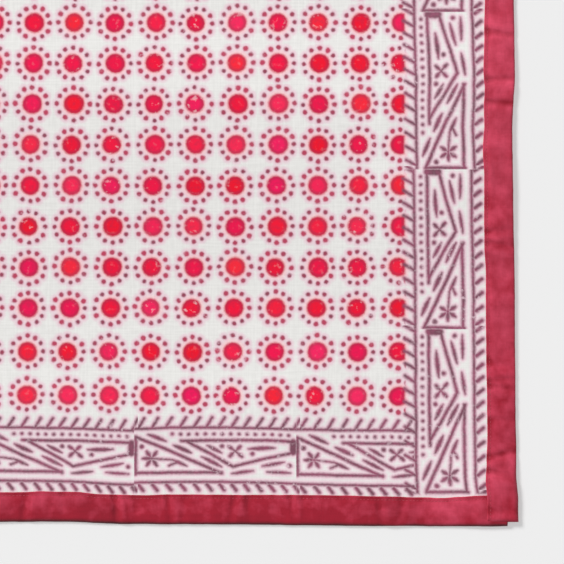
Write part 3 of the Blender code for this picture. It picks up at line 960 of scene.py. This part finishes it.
def wear_group():
    """Unevenness that both printed materials share, and the cloth's own threads."""
    outputs = {"Stray": "Vector", "Edge": "Float", "Ink": "Float", "Thread": "Float"}
    tree, add, given = group("hand-printed unevenness", {"Place": "Vector"}, outputs)
    broad = add(NOISE, (given["Place"], 1 / LINE_STRAY_SPAN, 1.0)).outputs["Color"]
    feeds = (broad, (2 * LINE_STRAY, 2 * LINE_STRAY, 0.0), (-LINE_STRAY, -LINE_STRAY, 0.0))
    stray = add(VECTOR, feeds, "MULTIPLY_ADD")
    fine = add(NOISE, (given["Place"], 1 / RAGGED_SPAN, 1.0))
    edge = add(MATH, (fine, RAGGED, -RAGGED / 2), "MULTIPLY_ADD")
    ink = add(NOISE, (given["Place"], 1 / INK_SPAN, 3.0))
    thread = threads(add, given["Place"], THREAD_WIDE, THREAD_LONG, 0.0)
    add("NodeGroupOutput", (stray, edge, ink, thread))
    return tree


# Block-printed cotton: plain weave, undyed, printed by hand with wooden blocks and washed. The eye gets a
# matt, faintly warm white. The field's dye is a clear crimson, pinker on some blocks, darker at a disc's rim
# where the block squeezed it out, and thin or missing in specks. The outline dye is a mauve-brown, uneven along
# a stroke. Both are soft-edged and bleed a little pink into the cloth. The real threads are about 0.35 mm
# apart, too fine to show, so they are drawn as streaks 1.5 mm wide.
UNDYED = "#EBEAE7"
CRIMSON = "#F90029"
CRIMSON_PINK = "#F8045D"
CRIMSON_DARK = "#A42448"
MAUVE = "#784A5A"
MAUVE_RED = "#C04460"
DOT_DARK = "#904458"
MAUVE_PINK = "#96506A"
CRIMSON_BLEED = "#FFBAC2"
MAUVE_BLEED = "#ECB6CC"
SHOWS_THROUGH = 0.45  # how much of the print comes through to the underside
LINE_STRAY = 0.8  # carved lines waver by this
LINE_STRAY_SPAN = 22.0
RAGGED = 1.1  # their edges are this ragged, in all
RAGGED_SPAN = 2.4
INK_SPAN = 5.0  # patches of thick and thin dye
THREAD_WIDE = 1.5
THREAD_LONG = 26.0
DISC_EDGE = (1.5, -1.5)  # a dye's soft edge, from outside its stroke to inside
DOT_EDGE = (1.05, -1.05)
BLOCK_EDGE = (1.65, -1.65)
MAUVE_BLEED_EDGE = (4.2, 0.2)
CRIMSON_BLEED_EDGE = (4.9, 0.2)
FIELD_BLEED = 0.60  # how strong the bleed is
BORDER_BLEED = 0.62
DISC_RIM = (-5.0, -1.7, 0.0, 0.60)  # the dark rim: from here to there, and from none to this much
DISC_PIP = (0.8, -0.8, 0.0, 0.12)
DISC_PATCH = (0.50, 0.68, 0.0, 0.30)  # and dark patches where the dye is thick
WEAVE_SHADE = (0.6, 1.4, 0.955, 1.035)  # from the threads' streaks to how light the cloth is
WASHED_SHADE = (0.3, 0.7, 0.970, 1.012)  # and from its patches
UNDERSIDE = (-0.3, 0.3)  # how far a face looks up, from the underside to the printed side
THIN_PATCH = (0.30, 0.42)  # from thin patches of dye to full ones
THINNEST = (0.05, 0.45, 0.35, 0.90)  # from a motif's chance to the strength of its dye where it is thin
FULLEST = (0.55, 1.0, 1.0, 0.972)  # and where it is full
MOTIF_DEPTH = (0.0, 1.0, 0.90, 1.02)  # and to how light its crimson is
MAUVE_PATCH = (0.35, 0.65)  # from the outline dye's browner patches to its pinker ones
RELIEF = 0.25  # how strongly the threads of both cottons stand out, and how deep they are
RELIEF_DEPTH = 0.0002


def emptied(thing):
    """Clears the nodes of a new material or world, and gives the function that adds its own."""
    thing.use_nodes = True
    thing.node_tree.nodes.clear()
    return partial(node, thing.node_tree)


def surfaced(add, looks, height, strength, depth):
    """Ends a material: its surface, with the relief of its threads."""
    relief = add("ShaderNodeBump", {"Height": height, "Strength": strength, "Distance": depth})
    surface = add("ShaderNodeBsdfPrincipled", {**looks, "Normal": relief})
    add("ShaderNodeOutputMaterial", (surface,))


def dyed(add, base, outside, edge, colour, strength):
    """Lays a dye, or its bleed, over a colour: none outside its soft edge and all of its strength inside."""
    cover = add(RANGE, (outside, *edge), **EASED)
    amount = add(MATH, (cover, strength), "MULTIPLY")
    return add(MIX, (amount, base, colour), **IN_COLOUR)


def printed_cotton(name, rosettes, wear, border=None):
    """Plain-woven cotton, printed by hand with wooden blocks: matt, with the dye uneven and soft-edged."""
    material = bpy.data.materials.new(name)
    add = emptied(material)
    cloth = add("ShaderNodeUVMap", uv_map="cloth")
    uneven = add(GROUP, {"Place": cloth}, node_tree=wear).outputs
    place = add(VECTOR, (cloth, uneven["Stray"]), "ADD")
    field = add(GROUP, {"Place": place}, node_tree=rosettes).outputs
    disc = add(MATH, (field["Disc"], uneven["Edge"]), "ADD")
    dots = add(MATH, (field["Dots"], uneven["Edge"]), "ADD")
    outline = dots
    if border:
        layout = add("ShaderNodeUVMap", uv_map="border")
        crossing = add("ShaderNodeUVMap", uv_map="crossing border")
        feeds = {"Border": layout, "Crossing": crossing, "Stray": uneven["Stray"]}
        block = add(GROUP, feeds, node_tree=border).outputs
        block_edge = chain(add, MATH, block["Outside"], ("SUBTRACT", DYE_CREEP), ("ADD", uneven["Edge"]))
        outline = add(MATH, (dots, block_edge), "MINIMUM")
    thread = add(RANGE, (uneven["Thread"], *WEAVE_SHADE))
    washed = add(RANGE, (uneven["Ink"], *WASHED_SHADE))
    shade = add(MATH, (thread, washed), "MULTIPLY")
    undyed = add(VECTOR, (linear(UNDYED)[:3], shade), "SCALE")
    facing = add(SPLIT, (add("ShaderNodeNewGeometry").outputs["Normal"],)).outputs["Z"]
    through = add(RANGE, (facing, *UNDERSIDE, SHOWS_THROUGH, 1.0))
    bleed = add(MATH, (through, BORDER_BLEED if border else FIELD_BLEED), "MULTIPLY")
    colour = dyed(add, undyed, outline, MAUVE_BLEED_EDGE, linear(MAUVE_BLEED), bleed)
    colour = dyed(add, colour, disc, CRIMSON_BLEED_EDGE, linear(CRIMSON_BLEED), bleed)
    tones = add("ShaderNodeSeparateColor", (field["Motif"],)).outputs
    thinnest = add(RANGE, (tones["Red"], *THINNEST))
    density = add(RANGE, (uneven["Ink"], *THIN_PATCH, thinnest, 1.0))
    full = add(RANGE, (tones["Green"], *FULLEST))
    strength = chain(add, MATH, density, ("MULTIPLY", full), ("MULTIPLY", through))
    pinkness = add(MATH, (tones["Blue"], 2.0), "POWER")
    feeds = (pinkness, linear(CRIMSON), linear(CRIMSON_PINK))
    crimson = add(MIX, feeds, **IN_COLOUR)
    depth = add(RANGE, (tones["Green"], *MOTIF_DEPTH))
    crimson = add(VECTOR, (crimson, depth), "SCALE")
    rim = add(RANGE, (disc, *DISC_RIM), **EASED)
    pip = add(RANGE, (field["Pip"], *DISC_PIP), **EASED)
    patchy = add(RANGE, (uneven["Ink"], *DISC_PATCH))
    outlined = chain(add, MATH, rim, ("MAXIMUM", pip), ("MAXIMUM", patchy))
    rimmed = add(MIX, (outlined, crimson, linear(CRIMSON_DARK)), **IN_COLOUR)
    colour = dyed(add, colour, disc, DISC_EDGE, rimmed, strength)
    feeds = (field["Dot"], linear(DOT_DARK), linear(MAUVE_RED))
    mauve = add(MIX, feeds, **IN_COLOUR)
    colour = dyed(add, colour, dots, DOT_EDGE, mauve, strength)
    if border:
        broad = add(SPLIT, (uneven["Stray"],)).outputs["X"]
        patches = add(MATH, (broad, 0.35, uneven["Ink"]), "MULTIPLY_ADD")
        tone = add(RANGE, (patches, *MAUVE_PATCH))
        outline_dye = add(MIX, (tone, linear(MAUVE), linear(MAUVE_PINK)), **IN_COLOUR)
        colour = dyed(add, colour, block_edge, BLOCK_EDGE, outline_dye, strength)
    looks = {"Roughness": 0.9, "Specular IOR Level": 0.25, "Sheen Weight": 0.06, "Sheen Roughness": 0.6}
    surfaced(add, {"Base Color": colour, **looks}, uneven["Thread"], RELIEF, RELIEF_DEPTH)
    return material


# Crimson cotton: plain weave, dyed right through, then cut into strips and pressed. The eye gets a matt,
# slightly dusty red, paler where the hem is rubbed. Painted shade makes it deeper in creases and where the
# outer fold turns down, and dark brown-red in the fold itself. Its threads are as fine as the panel's, and are
# drawn as streaks 1.3 mm wide.
RED_DEEP = "#9E122B"
RED_PALE = "#D84965"
# painted shade, for the outer fold's face and the pucker hollows
RED_PAINTED_SHADE = "#420F16"
MOTTLE_SPAN = 13.0  # patches of deeper and paler red
PATCH_SPAN = 32.0  # and of light and shade
RED_PATCH_SHADE = (0.3, 0.7, 0.885, 1.06)
RED_WEAVE_SHADE = (0.6, 1.4, 0.94, 1.06)
RED_THREAD_WIDE = 1.3
RED_THREAD_LONG = 9.0


def dyed_cotton(name):
    """Plain-woven cotton dyed crimson right through: matt, paler where it is rubbed, with painted shade in its
    creases and folds.
    """
    material = bpy.data.materials.new(name)
    add = emptied(material)
    cloth = add("ShaderNodeUVMap", uv_map="cloth")
    wear = add(SPLIT, (add("ShaderNodeUVMap", uv_map="rubbing_and_painted_shade"),)).outputs
    mottle = add(NOISE, (cloth, 1 / MOTTLE_SPAN, 3.0))
    mottled = add(MATH, (mottle, 1.5, -0.75), "MULTIPLY_ADD")
    tone = add(MATH, (mottled, wear["X"]), "ADD", use_clamp=True)
    colour = add(MIX, (tone, linear(RED_DEEP), linear(RED_PALE)), **IN_COLOUR)
    # painted shade: the red is mixed toward a dark brown-red on the outer fold's face and in pucker hollows,
    # where shade falls
    painted_shade = add(MATH, (wear["Y"], 0.8), "MULTIPLY", use_clamp=True)
    with_painted_shade = add(MIX, (painted_shade, colour, linear(RED_PAINTED_SHADE)), **IN_COLOUR)
    thread = threads(add, cloth, RED_THREAD_WIDE, RED_THREAD_LONG, 1.0)
    patch = add(NOISE, (cloth, 1 / PATCH_SPAN, 1.0))
    shade = add(RANGE, (thread, *RED_WEAVE_SHADE))
    shade_broad = add(RANGE, (patch, *RED_PATCH_SHADE))
    shades = add(MATH, (shade, shade_broad), "MULTIPLY")
    woven = add(VECTOR, (with_painted_shade, shades), "SCALE")
    looks = {"Roughness": 0.8, "Specular IOR Level": 0.25, "Sheen Weight": 0.2, "Sheen Roughness": 0.5}
    surfaced(add, {"Base Color": woven, **looks}, thread, RELIEF, RELIEF_DEPTH)
    return material


# Twisted cotton thread, near the strips' red and a little glossier. The eye gets a row of small plump dashes.
# Its twist, about 0.2 mm, is drawn 0.6 mm long, or none would show.
THREAD_DEEP = "#9A2438"
THREAD_PALE = "#C24458"
TWIST = 0.0006


def sewing_thread(name):
    """Twisted cotton thread for the seams."""
    material = bpy.data.materials.new(name)
    add = emptied(material)
    place = add("ShaderNodeTexCoord").outputs["Object"]
    ply = add(NOISE, (place, 1 / TWIST, 1.0))
    tone = add(RANGE, (ply, 0.35, 0.65))
    colour = add(MIX, (tone, linear(THREAD_DEEP), linear(THREAD_PALE)), **IN_COLOUR)
    surfaced(add, {"Base Color": colour, "Roughness": 0.6, "Sheen Weight": 0.25}, ply, 0.4, 0.0001)
    return material


# Camera, light and floor
VIEW_MIDDLE = (0.4008, -0.39225)
VIEW_WIDE = 0.5076  # how much of the floor the picture shows
CAMERA_HIGH = 2.0
SENSOR = 36.0
KEY_AZIMUTH = -44.0
KEY_ZENITH = 57.0
KEY_SPREAD = 16.0
KEY_STRENGTH = 3.55
KEY_AWAY = 5.0
FLOOR_REACH = 60.0
FLOOR_UNDER = -0.0002
FLOOR_TONE = 0.45
FLOOR_GLOW = 0.419  # makes the floor as pale as the photo's, and its shadows as faint
ROOM_LOW = 0.85  # the room is as pale as the floor where the two meet, so no line shows behind the cloth
ROOM_HIGH = 0.35
HAZE_TOP = 0.2


def camera():
    """Looks straight down on the corner at +X and -Y, as the photograph does."""
    lens = bpy.data.cameras.new("camera above the corner")
    lens.sensor_width = SENSOR
    lens.lens = SENSOR * CAMERA_HIGH / VIEW_WIDE
    eye = linked("camera above the corner", lens)
    eye.location = (*VIEW_MIDDLE, CAMERA_HIGH)
    bpy.context.scene.camera = eye


def key_light():
    """One soft light, as wide from the cloth as a big softbox, and as even over the whole floor as the sky."""
    lamp = bpy.data.lights.new("key light", "SUN")
    lamp.angle = math.radians(KEY_SPREAD)
    lamp.energy = KEY_STRENGTH
    turn, tilt = math.radians(KEY_AZIMUTH), math.radians(KEY_ZENITH)
    away = Vector((math.sin(turn) * math.sin(tilt), math.cos(turn) * math.sin(tilt), math.cos(tilt)))
    place = linked("key light", lamp)
    place.location = away * KEY_AWAY
    place.rotation_euler = away.to_track_quat("Z", "Y").to_euler()


def studio():
    """A plain pale floor just under the cloth, a key light from beyond its far side, and a pale room."""
    corners = [(x * FLOOR_REACH, y * FLOOR_REACH, FLOOR_UNDER) for x, y in ((-1, -1), (1, -1), (1, 1), (-1, 1))]
    mesh = bpy.data.meshes.new("pale floor")
    mesh.from_pydata(corners, [], [(0, 1, 2, 3)])
    floor = linked("pale floor", mesh)
    paint = bpy.data.materials.new("pale floor")
    add = emptied(paint)
    tone, white = (FLOOR_TONE,) * 3 + (1.0,), (1.0, 1.0, 1.0, 1.0)
    looks = {"Base Color": tone, "Roughness": 1.0, "Specular IOR Level": 0.0, "Emission Color": white}
    surface = add("ShaderNodeBsdfPrincipled", {**looks, "Emission Strength": FLOOR_GLOW})
    add("ShaderNodeOutputMaterial", (surface,))
    mesh.materials.append(paint)
    key_light()
    world = bpy.data.worlds.new("pale room")
    add = emptied(world)
    height = add(SPLIT, (add("ShaderNodeTexCoord").outputs["Generated"],)).outputs["Z"]
    haze = add(RANGE, (height, 0.0, HAZE_TOP, ROOM_LOW, ROOM_HIGH), **EASED)
    add("ShaderNodeOutputWorld", (add("ShaderNodeBackground", {"Color": white, "Strength": haze}),))
    bpy.context.scene.world = world
    bpy.context.scene.view_settings.view_transform = "Standard"


camera()
studio()
rosettes, wear = rosette_group(), wear_group()
field_cotton = printed_cotton("block-printed cotton, field", rosettes, wear)
border_cotton = printed_cotton("block-printed cotton, border", rosettes, wear, border_group())
panel = printed_panel(field_cotton, border_cotton)
spread_for_baking(panel)
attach(panel, "root")
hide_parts("printed_panel")

red_cotton = dyed_cotton("crimson cotton")
thread = sewing_thread("crimson sewing thread")
stitches = stitching_tree(thread)
for binding in BINDINGS:
    strip = red_binding(binding, red_cotton)
    seam = seam_stitches(binding, stitches)
    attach(strip, "root")
    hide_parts(binding.node)
    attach(seam, "root")
